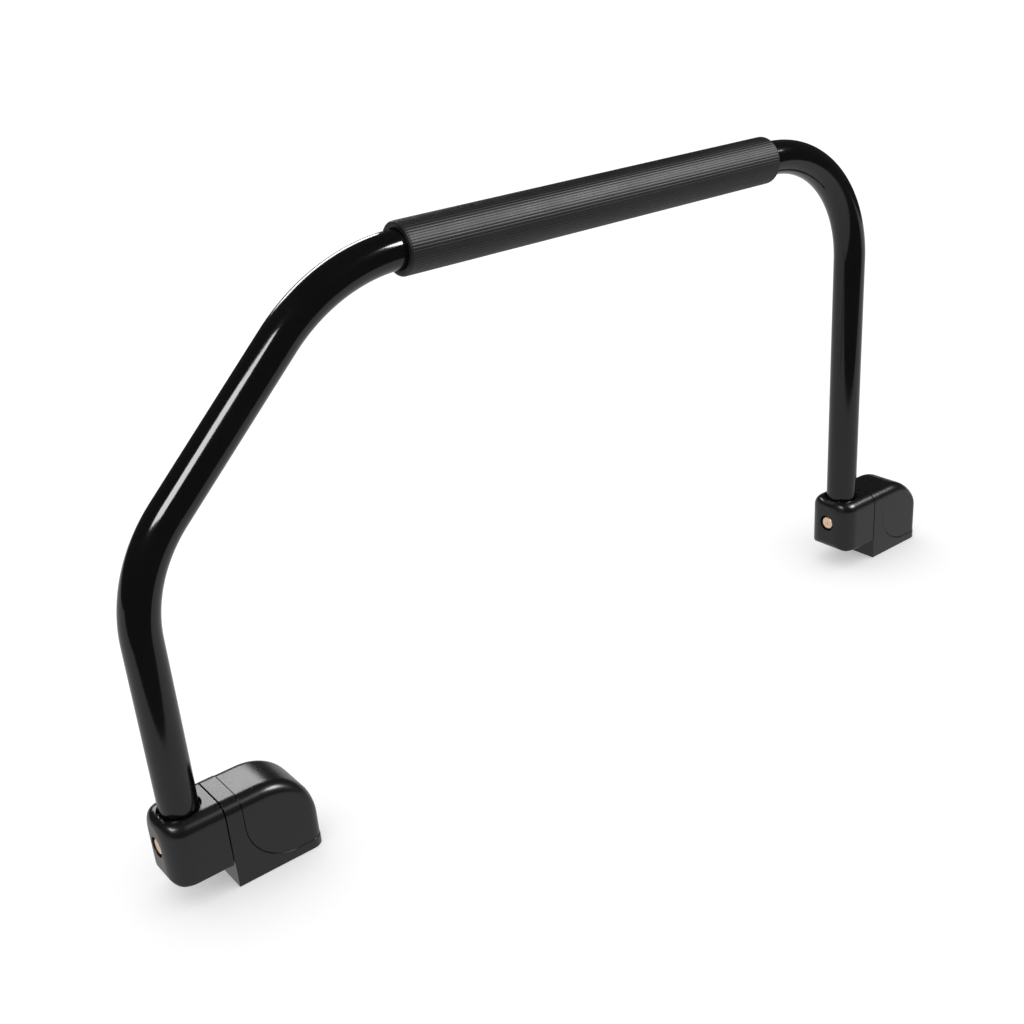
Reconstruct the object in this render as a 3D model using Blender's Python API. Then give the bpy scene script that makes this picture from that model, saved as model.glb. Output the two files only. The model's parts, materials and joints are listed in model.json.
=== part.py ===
"""Folding assist rail: a bent round tube with a foam grip, carried by two pivoting mounts.

The origin is on the mounting plane, midway along the whole rail. +X runs along the pivot
axis from the left mount to the right one, +Y points to the rear, and +Z points out of the
mounting plane. Both mounts are of the same hand: the rail lifts off its bases towards -X
and then swings about the pivot axis. All sizes are in metres.
"""

import math

import bmesh
import bpy
from mathutils import Vector

# Rail tube
TUBE_DIAMETER = 0.0286
TUBE_WALL = 0.0016
LEG_SPACING = 0.7264          # from one leg's axis to the other's
GRIP_HEIGHT = 0.4219          # of the top run's axis above the mounting plane
LOWER_BEND_HEIGHT = 0.2531    # where the left leg's axis meets the slope's axis
SLOPE_REACH = 0.1747          # how far along +X the slope runs to the top run
LOWER_BEND_RADIUS = 0.1139
UPPER_BEND_RADIUS = 0.1467
CORNER_BEND_RADIUS = 0.1104
BEND_STEP = math.radians(7.5)
TUBE_SIDES = 24

# Foam grip
GRIP_WALL = 0.0050
GRIP_START_OVERRUN = 0.0016   # back over the upper bend's end
GRIP_END_MARGIN = 0.0096      # short of the corner bend's start
GRIP_RIBS = 53
RIB_DEPTH = 0.0005
GRIP_END_CHAMFER = 0.0008

# Mount: the x values are from the leg's axis, the heights from the mounting plane
MOUNT_HALF_WIDTH = 0.0242
MOUNT_TOP = 0.0707
MOUNT_TOP_FILLET = 0.0104
PIVOT_DEPTH = 0.0238          # of the pivot axis below the mount's top

HOUSING_BOTTOM = 0.0192
HOUSING_NOSE_WALL = 0.0072    # from the tube to the housing's -X end
HOUSING_BACK_WALL = 0.0084    # from the tube to the housing's +X end
HOUSING_CORNER_RADIUS = 0.0165
HOUSING_NOSE_FILLET = 0.0070
HOUSING_CHIN_FILLET = 0.0080  # under the nose
HOUSING_BOTTOM_FILLET = 0.0025
SOCKET_FLOOR = 0.0040
TUBE_RECESS_DEPTH = 0.0040
TUBE_RECESS_MARGIN = 0.0019

SWIVEL_GAP = 0.0009           # between the housing's face and the base's face
BAND_THICKNESS = 0.0125
WEB_THICKNESS = 0.0050
BASE_WALL = 0.0030
BASE_FLOOR = 0.0050
BASE_RIM_HEIGHT = 0.0072
SEAM_RADIUS = 0.0385          # of the concave line where the cap meets the base
CAP_LENGTH = 0.0604
CAP_DOME_RADIUS = 0.0429
CAP_CORNER_RADIUS = 0.0100
CAP_WALL = 0.0024
BAND_STEP = 0.0004            # how far the base's band stands out beyond the cap

# Pivot pin and what it carries
PIN_DIAMETER = 0.0095
PIN_HEAD_COLLAR = 0.00125     # how far the head stands out around the shank
PIN_HEAD_LENGTH = 0.0030
PIN_HEAD_SUNK = 0.0010
PIN_HEAD_CHAMFER = 0.0004
PIN_DIMPLE_RADIUS = 0.0015
PIN_DIMPLE_DEPTH = 0.0008
PIN_SHOULDER = 0.00075        # how far the shank stands out around the thread
THREAD_SPARE = 0.0018
NUT_WALL = 0.0025             # from the thread to a flat
NUT_HEIGHT = 0.0065
WASHER_WIDTH = 0.0040         # from the thread outwards
WASHER_THICKNESS = 0.0016
THRUST_DIAMETER = 0.0300
THRUST_THICKNESS = 0.0012
SPRING_CLEARANCE = 0.00145    # around the spring in its bore
SPRING_WIRE = 0.0013
SPRING_TURNS = 8
SPRING_SIDES = 6
SPRING_STEPS_PER_TURN = 10
SEAT_CLEARANCE = 0.0004       # around the spring's seat in the bore
SEAT_THICKNESS = 0.0012
BUSH_WALL = 0.00195
SEAT_INSET = 0.00042          # of the spring seat's edge from the tube's inner wall
BUSH_SEAT = 0.0041            # of housing left in front of the bush's end

# Fixings
GRUB_DIAMETER = 0.0060
GRUB_SUNK = 0.0016            # below the housing's rear face
GRUB_RISE = 0.0118            # above the housing's underside
GRUB_KEY = 0.0030
GRUB_KEY_DEPTH = 0.0030
SCREW_HOLE_DIAMETER = 0.0055
SCREW_HEAD_DIAMETER = 0.0100
SCREW_HEAD_DEPTH = 0.0025
SCREW_HOLE_INSET = 0.0160     # from the base's web and from its rounded end

# Clearances
GAP = 0.0003                  # between pieces that touch on the real rail
OVERCUT = 0.0020              # how far a cutter runs out past the face it cuts
ROUND_SIDES = 24
FILLET_STEPS = 5
END_STEPS = 6
DOME_STEPS = 10

# Sizes and places that follow from the ones above
TUBE_RADIUS = TUBE_DIAMETER / 2
SLOPE_ANGLE = math.atan2(GRIP_HEIGHT - LOWER_BEND_HEIGHT, SLOPE_REACH)
TOP_RUN_START = SLOPE_REACH + UPPER_BEND_RADIUS * math.tan(SLOPE_ANGLE / 2)
TOP_RUN_END = LEG_SPACING - CORNER_BEND_RADIUS
GRIP_DIAMETER = TUBE_DIAMETER + 2 * (GAP + GRIP_WALL)
GRIP_START = TOP_RUN_START - GRIP_START_OVERRUN
GRIP_LENGTH = TOP_RUN_END - GRIP_END_MARGIN - GRIP_START
PIVOT_HEIGHT = MOUNT_TOP - PIVOT_DEPTH
HOUSING_START = -TUBE_RADIUS - HOUSING_NOSE_WALL
HOUSING_END = TUBE_RADIUS + HOUSING_BACK_WALL
PIN_HEAD_DIAMETER = PIN_DIAMETER + 2 * PIN_HEAD_COLLAR
THREAD_DIAMETER = PIN_DIAMETER - 2 * PIN_SHOULDER
NUT_ACROSS_FLATS = THREAD_DIAMETER + 2 * NUT_WALL
WASHER_DIAMETER = THREAD_DIAMETER + 2 * WASHER_WIDTH
SPRING_DIAMETER = PIN_DIAMETER + 2 * (GAP + SPRING_WIRE)
SPRING_BORE = SPRING_DIAMETER + 2 * SPRING_CLEARANCE
SEAT_DIAMETER = SPRING_BORE - 2 * SEAT_CLEARANCE
BUSH_DIAMETER = PIN_DIAMETER + 2 * (GAP + BUSH_WALL)
GRUB_LENGTH = MOUNT_HALF_WIDTH - TUBE_RADIUS - GAP - GRUB_SUNK
GRUB_HEIGHT = HOUSING_BOTTOM + GRUB_RISE
BASE_START = HOUSING_END + SWIVEL_GAP
BAND_END = BASE_START + BAND_THICKNESS
BASE_END = BAND_END + CAP_LENGTH
DOME_START = BASE_END - CAP_DOME_RADIUS
DOME_CENTRE_HEIGHT = MOUNT_TOP - CAP_DOME_RADIUS
OVERALL_LENGTH = LEG_SPACING - HOUSING_START + BASE_END
LEFT_LEG_X = -OVERALL_LENGTH / 2 - HOUSING_START
RIGHT_LEG_X = LEFT_LEG_X + LEG_SPACING
TUBE_END_HEIGHT = HOUSING_BOTTOM + SOCKET_FLOOR + GAP
THRUST_START = HOUSING_END + GAP
THRUST_END = THRUST_START + THRUST_THICKNESS
WEB_START = THRUST_END + GAP
WEB_END = WEB_START + WEB_THICKNESS
WASHER_START = WEB_END + GAP
NUT_START = WASHER_START + WASHER_THICKNESS + GAP
THREAD_END = NUT_START + NUT_HEIGHT + THREAD_SPARE
HEAD_START = HOUSING_START + PIN_HEAD_SUNK
HEAD_END = HEAD_START + PIN_HEAD_LENGTH
BUSH_END = HOUSING_END - BUSH_SEAT
SEAT_END = math.sqrt((TUBE_RADIUS - TUBE_WALL) ** 2 - (SEAT_DIAMETER / 2) ** 2) - SEAT_INSET
SEAT_START = SEAT_END - SEAT_THICKNESS
BUSH_START = SEAT_END + GAP
BUSH_LENGTH = BUSH_END - BUSH_START


def clear_scene():
    for old in list(bpy.data.objects):
        bpy.data.objects.remove(old, do_unlink=True)


def principled(name, colour, roughness, metallic=0.0):
    """A material with one Principled BSDF."""
    material = bpy.data.materials.new(name)
    material.use_nodes = True
    shader = material.node_tree.nodes["Principled BSDF"]
    shader.inputs["Base Color"].default_value = (*colour, 1.0)
    shader.inputs["Roughness"].default_value = roughness
    shader.inputs["Metallic"].default_value = metallic
    return material


def make_materials():
    return {
        "tube": principled("gloss_black_powder_coat", (0.012, 0.012, 0.013), 0.16),
        "grip": principled("charcoal_foam", (0.030, 0.032, 0.032), 0.85),
        "mount": principled("satin_black_nylon", (0.026, 0.027, 0.031), 0.34),
        "pin": principled("brass_pin", (0.80, 0.50, 0.32), 0.30, 1.0),
        "steel": principled("zinc_plated_steel", (0.55, 0.56, 0.58), 0.32, 1.0),
        "bush": principled("natural_nylon", (0.72, 0.70, 0.64), 0.45),
        "grub": principled("black_oxide_steel", (0.035, 0.035, 0.038), 0.42, 1.0),
    }


def empty(name, location):
    """A guide point that pieces are placed from."""
    guide = bpy.data.objects.new(name, None)
    guide.location = location
    bpy.context.scene.collection.objects.link(guide)
    return guide


def rings_to_mesh(name, rings, looped=False):
    """A closed body through rings of points: looped back on itself, or with a flat face at each end."""
    shape = bmesh.new()
    loops = [[shape.verts.new(point) for point in ring] for ring in rings]
    pairs = list(zip(loops, loops[1:]))
    if looped:
        pairs.append((loops[-1], loops[0]))
    else:
        shape.faces.new(loops[0])
        shape.faces.new(loops[-1])
    for first, second in pairs:
        for index in range(len(first)):
            after = (index + 1) % len(first)
            shape.faces.new((first[index], first[after], second[after], second[index]))
    bmesh.ops.recalc_face_normals(shape, faces=shape.faces[:])
    mesh = bpy.data.meshes.new(name)
    shape.to_mesh(mesh)
    shape.free()
    mesh.shade_smooth()
    mesh.set_sharp_from_angle(angle=math.radians(32))
    return mesh


def place(name, mesh, parent, location=(0, 0, 0), rotation=(0, 0, 0)):
    """An object on its parent guide."""
    piece = bpy.data.objects.new(name, mesh)
    piece.parent = parent
    piece.location = location
    piece.rotation_euler = rotation
    bpy.context.scene.collection.objects.link(piece)
    return piece


def add_piece(name, mesh, material, parent, location=(0, 0, 0), rotation=(0, 0, 0)):
    piece = place(name, mesh, parent, location, rotation)
    piece.data.materials.append(material)
    return piece


def cut(piece, name, mesh, location=(0, 0, 0), rotation=(0, 0, 0), operation="DIFFERENCE"):
    """Cuts a piece by a hidden shape that sits on the same guide."""
    tool = place(f"{piece.name}_{name}_cutter", mesh, piece.parent, location, rotation)
    tool.hide_render = True
    tool.display_type = "WIRE"
    modifier = piece.modifiers.new(name, "BOOLEAN")
    modifier.operation = operation
    modifier.solver = "EXACT"
    modifier.object = tool


ALONG_X = (0, math.pi / 2, 0)     # turns a piece's own +Z to +X
ALONG_Y = (-math.pi / 2, 0, 0)    # turns a piece's own +Z to +Y


def circle(radius, z, sides=ROUND_SIDES):
    turns = (2 * math.pi * index / sides for index in range(sides))
    return [Vector((radius * math.cos(turn), radius * math.sin(turn), z)) for turn in turns]


def turned(name, profile, sides=ROUND_SIDES, looped=False):
    """A body of revolution about +Z through (radius, z) points."""
    return rings_to_mesh(name, [circle(radius, z, sides) for radius, z in profile], looped)


def cylinder(name, diameter, start, end, sides=ROUND_SIDES):
    return turned(name, [(diameter / 2, start), (diameter / 2, end)], sides)


def washer(name, outer, inner, thickness):
    profile = [(outer / 2, 0), (outer / 2, thickness), (inner / 2, thickness), (inner / 2, 0)]
    return turned(name, profile, looped=True)


def edge_drop(distance, radius):
    """How far a rounded edge has dropped below its corner, this far in from the end."""
    if distance >= radius:
        return 0.0
    return radius - math.sqrt(radius * radius - (radius - distance) ** 2)


def section(x, half_width, bottom, top, top_fillet, bottom_fillet=0.0):
    """The outline of a mount across x: rounded upper corners, and rounded or square lower ones."""
    corners = [
        (1, bottom, bottom_fillet, -90),
        (1, top, top_fillet, 0),
        (-1, top, top_fillet, 90),
        (-1, bottom, bottom_fillet, 180),
    ]
    points = []
    for side, height, fillet, start in corners:
        radius = min(fillet, 0.92 * half_width, 0.45 * (top - bottom))
        steps = FILLET_STEPS if radius > 0 else 0
        inward = -1 if height == top else 1
        for step in range(steps + 1):
            angle = math.radians(start + 90 * step / max(steps, 1))
            y = side * (half_width - radius) + radius * math.cos(angle)
            z = height + inward * radius + radius * math.sin(angle)
            points.append(Vector((x, y, z)))
    return points


def housing_mesh(name):
    """The moving block: rounded over its top and nose, and rounded in plan at its -X end."""
    rings = []
    for step in range(END_STEPS + 1):
        inset = HOUSING_CORNER_RADIUS * (1 - math.cos(math.pi / 2 * step / END_STEPS))
        narrowing = edge_drop(inset, HOUSING_CORNER_RADIUS)
        top = MOUNT_TOP - edge_drop(inset, HOUSING_NOSE_FILLET) - PIVOT_HEIGHT
        bottom = HOUSING_BOTTOM + edge_drop(inset, HOUSING_CHIN_FILLET) - PIVOT_HEIGHT
        half_width = MOUNT_HALF_WIDTH - narrowing
        fillets = (MOUNT_TOP_FILLET, HOUSING_BOTTOM_FILLET)
        rings.append(section(HOUSING_START + inset, half_width, bottom, top, *fillets))
    last = [Vector((HOUSING_END, point.y, point.z)) for point in rings[-1]]
    return rings_to_mesh(name, rings + [last])


def fixed_mesh(name, start, bottom, inset=0.0):
    """The fixed part of a mount from x = start: flat, then domed and rounded in plan at its +X end."""
    dome_radius = CAP_DOME_RADIUS - inset
    corner_radius = CAP_CORNER_RADIUS - inset
    places = [start]
    for step in range(DOME_STEPS + 1):
        places.append(DOME_START + dome_radius * math.sin(math.pi / 2 * step / DOME_STEPS))
    rings = []
    for x in places:
        from_end = BASE_END - inset - x
        top = DOME_CENTRE_HEIGHT + dome_radius - edge_drop(from_end, dome_radius)
        half_width = MOUNT_HALF_WIDTH - inset - edge_drop(from_end, corner_radius)
        rings.append(section(x, half_width, bottom, top, MOUNT_TOP_FILLET - inset))
    return rings_to_mesh(name, rings)


def seam_mesh(name, offset=0.0):
    """Everything on the cap's side of the seam: down the band, round the arc, along the rim."""
    radius = SEAM_RADIUS - offset
    centre = (BAND_END + SEAM_RADIUS, BASE_RIM_HEIGHT + SEAM_RADIUS)
    high = MOUNT_TOP + OVERCUT
    outline = [(BAND_END + offset, high)]
    for step in range(DOME_STEPS + 1):
        angle = math.pi + math.pi / 2 * step / DOME_STEPS
        outline.append((centre[0] + radius * math.cos(angle), centre[1] + radius * math.sin(angle)))
    outline.append((BASE_END + OVERCUT, BASE_RIM_HEIGHT + offset))
    outline.append((BASE_END + OVERCUT, high))
    half_width = MOUNT_HALF_WIDTH + OVERCUT
    sides = [[Vector((x, y, z)) for x, z in outline] for y in (-half_width, half_width)]
    return rings_to_mesh(name, sides)


def rail_path():
    """The tube's axis in X and Z, with its three bends as arcs."""
    corners = [
        (Vector((LEFT_LEG_X, 0, TUBE_END_HEIGHT)), 0),
        (Vector((LEFT_LEG_X, 0, LOWER_BEND_HEIGHT)), LOWER_BEND_RADIUS),
        (Vector((LEFT_LEG_X + SLOPE_REACH, 0, GRIP_HEIGHT)), UPPER_BEND_RADIUS),
        (Vector((RIGHT_LEG_X, 0, GRIP_HEIGHT)), CORNER_BEND_RADIUS),
        (Vector((RIGHT_LEG_X, 0, TUBE_END_HEIGHT)), 0),
    ]
    path = [corners[0][0]]
    for (before, _), (corner, radius), (after, _) in zip(corners, corners[1:], corners[2:]):
        coming = (corner - before).normalized()
        going = (after - corner).normalized()
        turn = coming.angle(going)
        inward = (going - coming).normalized()
        centre = corner + inward * radius / math.cos(turn / 2)
        steps = math.ceil(turn / BEND_STEP)
        for step in range(steps + 1):
            angle = turn * (step / steps - 0.5)
            along = (coming + going).normalized()
            path.append(centre + radius * (along * math.sin(angle) - inward * math.cos(angle)))
    path.append(corners[-1][0])
    return path


def tube_mesh(name):
    """The bent tube, hollow from end to end."""
    path = rail_path()
    pivot = Vector((0, 0, PIVOT_HEIGHT))
    across = Vector((0, 1, 0))
    outer = []
    inner = []
    for index, point in enumerate(path):
        before = path[max(index - 1, 0)]
        after = path[min(index + 1, len(path) - 1)]
        if 0 < index < len(path) - 1:
            along = (point - before).normalized() + (after - point).normalized()
        else:
            along = after - before
        normal = across.cross(along.normalized())
        for ring, radius in ((outer, TUBE_RADIUS), (inner, TUBE_RADIUS - TUBE_WALL)):
            flat = circle(radius, 0, TUBE_SIDES)
            ring.append([point - pivot + normal * spot.x + across * spot.y for spot in flat])
    return rings_to_mesh(name, outer + inner[::-1], looped=True)


def grip_mesh(name):
    """A foam sleeve along +Z with fine ribs along it and softened ends."""
    inner = TUBE_RADIUS + GAP
    outer = GRIP_DIAMETER / 2

    def ribbed(radius, z):
        ring = circle(radius, z, 2 * GRIP_RIBS)
        for index in range(0, len(ring), 2):
            ring[index].x *= 1 - RIB_DEPTH / radius
            ring[index].y *= 1 - RIB_DEPTH / radius
        return ring

    rings = [
        circle(inner, 0, 2 * GRIP_RIBS),
        ribbed(outer - GRIP_END_CHAMFER, 0),
        ribbed(outer, GRIP_END_CHAMFER),
        ribbed(outer, GRIP_LENGTH - GRIP_END_CHAMFER),
        ribbed(outer - GRIP_END_CHAMFER, GRIP_LENGTH),
        circle(inner, GRIP_LENGTH, 2 * GRIP_RIBS),
    ]
    return rings_to_mesh(name, rings, looped=True)


def spring_mesh(name, inner_diameter, length):
    """A compression spring along +Z, with a closed turn at each end."""
    coil_radius = (inner_diameter + SPRING_WIRE) / 2
    closed_pitch = SPRING_WIRE * 1.08
    open_rise = length - SPRING_WIRE - 2 * closed_pitch
    rings = []
    for step in range(SPRING_TURNS * SPRING_STEPS_PER_TURN + 1):
        turns = step / SPRING_STEPS_PER_TURN
        opened = min(max(turns - 1, 0), SPRING_TURNS - 2) / (SPRING_TURNS - 2)
        closed = turns - opened * (SPRING_TURNS - 2)
        z = SPRING_WIRE / 2 + closed * closed_pitch + opened * open_rise
        angle = 2 * math.pi * turns
        out = Vector((math.cos(angle), math.sin(angle), 0))
        ring = circle(SPRING_WIRE / 2, 0, SPRING_SIDES)
        rings.append([out * (coil_radius + spot.x) + Vector((0, 0, z + spot.y)) for spot in ring])
    return rings_to_mesh(name, rings)


def add_housing(side, materials, pivot):
    """The block that the tube stands in, bored for the pivot."""
    name = f"{side}_housing"
    housing = add_piece(name, housing_mesh(name), materials["mount"], pivot)
    high = MOUNT_TOP - PIVOT_HEIGHT
    low = HOUSING_BOTTOM + SOCKET_FLOOR - PIVOT_HEIGHT
    socket = cylinder("socket", TUBE_DIAMETER + 2 * GAP, low, high + OVERCUT)
    cut(housing, "socket", socket)
    recess_diameter = TUBE_DIAMETER + 2 * TUBE_RECESS_MARGIN
    recess = cylinder("recess", recess_diameter, high - TUBE_RECESS_DEPTH, high + OVERCUT)
    cut(housing, "recess", recess)
    nose_bore = cylinder("spring_bore", SPRING_BORE, HOUSING_START - OVERCUT, 0)
    cut(housing, "spring_bore", nose_bore, rotation=ALONG_X)
    bush_bore = cylinder("bush_bore", BUSH_DIAMETER + 2 * GAP, 0, BUSH_END + GAP)
    cut(housing, "bush_bore", bush_bore, rotation=ALONG_X)
    pin_hole = cylinder("pin_hole", PIN_DIAMETER + 2 * GAP, 0, HOUSING_END + OVERCUT)
    cut(housing, "pin_hole", pin_hole, rotation=ALONG_X)
    grub_hole = cylinder("grub_hole", GRUB_DIAMETER + 2 * GAP, 0, MOUNT_HALF_WIDTH + OVERCUT)
    cut(housing, "grub_hole", grub_hole, (0, 0, GRUB_HEIGHT - PIVOT_HEIGHT), ALONG_Y)


def add_grub_screw(side, materials, pivot):
    """The set screw that grips the tube from behind, with a hexagon key socket."""
    name = f"{side}_set_screw"
    start = TUBE_RADIUS + GAP
    at = (0, start, GRUB_HEIGHT - PIVOT_HEIGHT)
    body = cylinder(name, GRUB_DIAMETER, 0, GRUB_LENGTH, 20)
    screw = add_piece(name, body, materials["grub"], pivot, at, ALONG_Y)
    key_diameter = GRUB_KEY / math.cos(math.pi / 6)
    key = cylinder("key", key_diameter, GRUB_LENGTH - GRUB_KEY_DEPTH, GRUB_LENGTH + OVERCUT, 6)
    cut(screw, "key", key, at, ALONG_Y)


def add_base(side, materials, mount):
    """The fixed base: a band beside the housing, side walls under the seam, and a floor."""
    name = f"{side}_base"
    base = add_piece(name, fixed_mesh(name, BASE_START, 0), materials["mount"], mount)
    cut(base, "seam", seam_mesh("seam"))
    cut(base, "pocket", fixed_mesh("pocket", WEB_END, BASE_FLOOR, BASE_WALL))
    on_axis = (0, 0, PIVOT_HEIGHT)
    thrust_recess = cylinder("thrust_recess", THRUST_DIAMETER + 2 * GAP, 0, WEB_START)
    cut(base, "thrust_recess", thrust_recess, on_axis, ALONG_X)
    thread_hole = cylinder("thread_hole", THREAD_DIAMETER + 2 * GAP, 0, WEB_END + OVERCUT)
    cut(base, "thread_hole", thread_hole, on_axis, ALONG_X)
    hole_radius = SCREW_HOLE_DIAMETER / 2
    head_radius = SCREW_HEAD_DIAMETER / 2
    outline = [
        (hole_radius, -OVERCUT),
        (hole_radius, BASE_FLOOR - SCREW_HEAD_DEPTH),
        (head_radius, BASE_FLOOR),
        (head_radius, BASE_FLOOR + OVERCUT),
    ]
    for place_name, x in screw_places():
        cut(base, place_name, turned(place_name, outline), (x, 0, 0))


def screw_places():
    first = WEB_END + SCREW_HOLE_INSET
    return [("near_screw", first), ("far_screw", BASE_END - SCREW_HOLE_INSET)]


def add_cap(side, materials, mount):
    """The domed cover over the pin's nut, open towards the band and the base."""
    name = f"{side}_cap"
    cap = add_piece(name, fixed_mesh(name, BAND_END, 0, BAND_STEP), materials["mount"], mount)
    cut(cap, "seam", seam_mesh("cap_seam", GAP), operation="INTERSECT")
    hollow = fixed_mesh("hollow", BAND_END - OVERCUT, -OVERCUT, BAND_STEP + CAP_WALL)
    cut(cap, "hollow", hollow)


def add_pin(side, materials, mount):
    """The shouldered pivot pin, its head towards -X and its thread through the base's web."""
    name = f"{side}_pivot_pin"
    profile = [
        (PIN_DIMPLE_RADIUS / 3, HEAD_START + PIN_DIMPLE_DEPTH),
        (PIN_DIMPLE_RADIUS, HEAD_START),
        (PIN_HEAD_DIAMETER / 2 - PIN_HEAD_CHAMFER, HEAD_START),
        (PIN_HEAD_DIAMETER / 2, HEAD_START + PIN_HEAD_CHAMFER),
        (PIN_HEAD_DIAMETER / 2, HEAD_END),
        (PIN_DIAMETER / 2, HEAD_END),
        (PIN_DIAMETER / 2, THRUST_END),
        (THREAD_DIAMETER / 2, THRUST_END),
        (THREAD_DIAMETER / 2, THREAD_END),
    ]
    on_axis = (0, 0, PIVOT_HEIGHT)
    add_piece(name, turned(name, profile), materials["pin"], mount, on_axis, ALONG_X)


def add_nut(side, materials, mount):
    name = f"{side}_pin_nut"
    across_corners = NUT_ACROSS_FLATS / math.cos(math.pi / 6)
    body = cylinder(name, across_corners, 0, NUT_HEIGHT, 6)
    at = (NUT_START, 0, PIVOT_HEIGHT)
    nut = add_piece(name, body, materials["steel"], mount, at, ALONG_X)
    hole = cylinder("thread", THREAD_DIAMETER + 2 * GAP, -OVERCUT, NUT_HEIGHT + OVERCUT)
    cut(nut, "thread", hole, at, ALONG_X)


def add_pin_rings(side, materials, mount, lift):
    """The flat rings and the spring that sit around the pin."""
    around_pin = PIN_DIAMETER + 2 * GAP
    around_thread = THREAD_DIAMETER + 2 * GAP
    rings = [
        ("pin_washer", WASHER_DIAMETER, around_thread, WASHER_THICKNESS, WASHER_START, "steel", mount),
        ("thrust_washer", THRUST_DIAMETER, around_pin, THRUST_THICKNESS, THRUST_START, "bush", mount),
        ("spring_seat", SEAT_DIAMETER, around_pin, SEAT_THICKNESS, SEAT_START, "steel", lift),
    ]
    for part, outer, inner, thickness, start, material, parent in rings:
        name = f"{side}_{part}"
        at = (start, 0, PIVOT_HEIGHT if parent is mount else 0)
        add_piece(name, washer(name, outer, inner, thickness), materials[material], parent, at, ALONG_X)
    name = f"{side}_spring"
    start = HEAD_END + GAP
    mesh = spring_mesh(name, around_pin, SEAT_START - GAP - start)
    add_piece(name, mesh, materials["steel"], mount, (start, 0, PIVOT_HEIGHT), ALONG_X)


def add_bush(side, materials, pivot):
    """The nylon bearing bush, through the tube's wall into the housing."""
    name = f"{side}_pivot_bush"
    mesh = washer(name, BUSH_DIAMETER, PIN_DIAMETER + 2 * GAP, BUSH_LENGTH)
    add_piece(name, mesh, materials["bush"], pivot, (BUSH_START, 0, 0), ALONG_X)


def add_mount(side, leg_x, materials):
    mount = empty(f"{side}_mount", (leg_x, 0, 0))
    lift = empty(f"{side}_lift", (leg_x, 0, PIVOT_HEIGHT))
    pivot = empty(f"{side}_pivot", (leg_x, 0, PIVOT_HEIGHT))
    add_base(side, materials, mount)
    add_cap(side, materials, mount)
    add_pin(side, materials, mount)
    add_nut(side, materials, mount)
    add_pin_rings(side, materials, mount, lift)
    add_housing(side, materials, pivot)
    add_bush(side, materials, pivot)
    add_grub_screw(side, materials, pivot)


def add_rail(materials):
    """The tube, drilled at both ends for the pivot, and its grip."""
    pivot = empty("rail_pivot", (0, 0, PIVOT_HEIGHT))
    tube = add_piece("rail_tube", tube_mesh("rail_tube"), materials["tube"], pivot)
    reach = TUBE_RADIUS + OVERCUT
    for side, leg_x in (("left", LEFT_LEG_X), ("right", RIGHT_LEG_X)):
        spring_hole = cylinder("spring_hole", SPRING_BORE + 2 * GAP, -reach, 0)
        cut(tube, f"{side}_spring_hole", spring_hole, (leg_x, 0, 0), ALONG_X)
        bush_hole = cylinder("bush_hole", BUSH_DIAMETER + 2 * GAP, 0, reach)
        cut(tube, f"{side}_bush_hole", bush_hole, (leg_x, 0, 0), ALONG_X)
    at = (LEFT_LEG_X + GRIP_START, 0, GRIP_HEIGHT - PIVOT_HEIGHT)
    add_piece("grip_sleeve", grip_mesh("grip_sleeve"), materials["grip"], pivot, at, ALONG_X)


def main():
    clear_scene()
    materials = make_materials()
    add_rail(materials)
    add_mount("left", LEFT_LEG_X, materials)
    add_mount("right", RIGHT_LEG_X, materials)


main()
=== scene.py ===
"""Fine surfaces, finishes and studio for a folding assist rail.

The rail is a bent round tube with a ribbed foam grip. It stands in two pivoting mounts, each made
of a moving housing, a fixed base, a domed cap, and a pin with its nut, rings, spring and bush.
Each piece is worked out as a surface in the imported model's own frame, in metres: +X along the
pivot axis, +Z out of the mounting plane.
"""

import json
import math

import bmesh
import bpy
import numpy as np
from bpy.props import FloatProperty, FloatVectorProperty, IntProperty, PointerProperty
from bpy.types import Operator, Panel, PropertyGroup
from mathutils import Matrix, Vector


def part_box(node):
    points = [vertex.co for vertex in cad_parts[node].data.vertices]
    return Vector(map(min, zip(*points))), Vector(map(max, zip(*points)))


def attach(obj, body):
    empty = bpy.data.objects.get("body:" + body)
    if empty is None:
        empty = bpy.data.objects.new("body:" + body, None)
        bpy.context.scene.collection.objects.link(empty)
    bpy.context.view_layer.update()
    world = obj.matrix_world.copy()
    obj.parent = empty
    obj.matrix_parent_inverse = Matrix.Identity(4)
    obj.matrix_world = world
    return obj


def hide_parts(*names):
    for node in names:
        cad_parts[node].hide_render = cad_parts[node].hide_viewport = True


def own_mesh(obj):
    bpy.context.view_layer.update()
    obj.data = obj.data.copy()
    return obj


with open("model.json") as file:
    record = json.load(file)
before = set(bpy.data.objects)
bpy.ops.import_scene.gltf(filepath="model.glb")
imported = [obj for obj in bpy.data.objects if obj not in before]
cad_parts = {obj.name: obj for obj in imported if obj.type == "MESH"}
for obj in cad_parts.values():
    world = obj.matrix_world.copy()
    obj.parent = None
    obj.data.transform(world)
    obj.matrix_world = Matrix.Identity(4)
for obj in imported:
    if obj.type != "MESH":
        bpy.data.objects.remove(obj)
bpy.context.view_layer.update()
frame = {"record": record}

bl_info = {
    "name": "Folding assist rail",
    "version": (1, 0, 0),
    "blender": (4, 5, 0),
    "location": "3D View > Sidebar > Assist rail",
    "description": "Builds the surfaces, finishes and studio of a folding assist rail",
    "category": "Object",
}

RECORD = frame["record"]
BODY_OF = {node: body for body, nodes in RECORD["behaviour"]["bodies"].items() for node in nodes}
SIDES = ("left", "right")


def box_size(node):
    low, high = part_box(node)
    return high - low


def box_centre(node):
    low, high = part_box(node)
    return (low + high) / 2


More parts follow.
